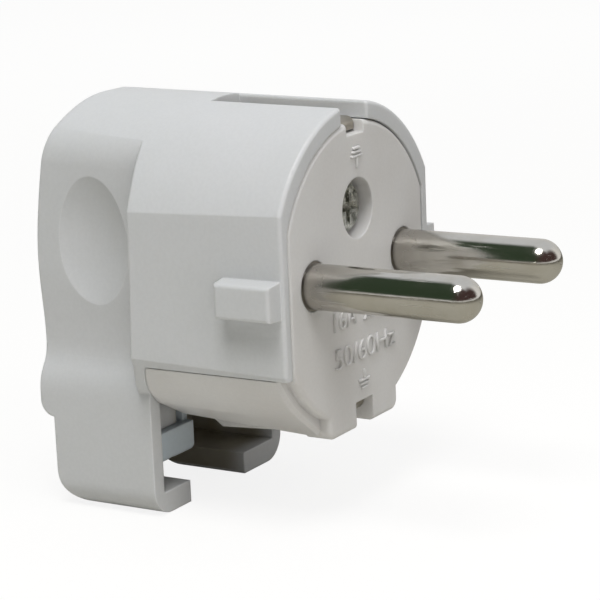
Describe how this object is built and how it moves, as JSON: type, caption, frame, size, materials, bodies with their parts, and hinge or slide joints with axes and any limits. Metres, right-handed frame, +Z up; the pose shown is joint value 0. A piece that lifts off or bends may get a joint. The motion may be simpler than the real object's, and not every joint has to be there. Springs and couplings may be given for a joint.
{
  "type": "right-angle mains plug",
  "caption": "Right-angle rewirable type F mains plug: round pins, side earth contacts, moulded body with a cord clamp.",
  "frame": {"origin": "centre of the engagement face, midway between the two pins", "axes": "-Y along the pins, out of the face; +Z up towards the upper earth contact, so the cord leaves towards -Z; +X to the neutral pin"},
  "size_m": [0.036, 0.0526, 0.0447],
  "materials": {
    "housing_plastic": "light grey moulded plastic, fine satin",
    "carrier_plastic": "light grey moulded plastic, slightly warmer, satin",
    "clamp_nylon": "bluish white nylon, satin",
    "nickel_plated_brass": "nickel plated, bright, fine turning marks",
    "nickel_plated_strip": "nickel plated sheet, satin",
    "zinc_plated_steel": "zinc plated, bright"
  },
  "bodies": {
    "root": {"housing": "housing_plastic", "contact_carrier": "carrier_plastic", "line_pin": "nickel_plated_brass", "neutral_pin": "nickel_plated_brass", "line_clamp_washer": "zinc_plated_steel", "neutral_clamp_washer": "zinc_plated_steel", "line_terminal_screw": "zinc_plated_steel", "neutral_terminal_screw": "zinc_plated_steel", "pin_retainer": "carrier_plastic", "retainer_screw_left": "zinc_plated_steel", "retainer_screw_right": "zinc_plated_steel", "earth_strip": "nickel_plated_strip", "earth_clamp_washer": "zinc_plated_steel", "earth_terminal_screw": "zinc_plated_steel", "earth_terminal_nut": "zinc_plated_steel", "assembly_screw": "zinc_plated_steel", "assembly_nut": "zinc_plated_steel", "cord_clamp": "clamp_nylon", "cord_clamp_screw_front": "zinc_plated_steel", "cord_clamp_screw_rear": "zinc_plated_steel"}
  },
  "joints": []
}
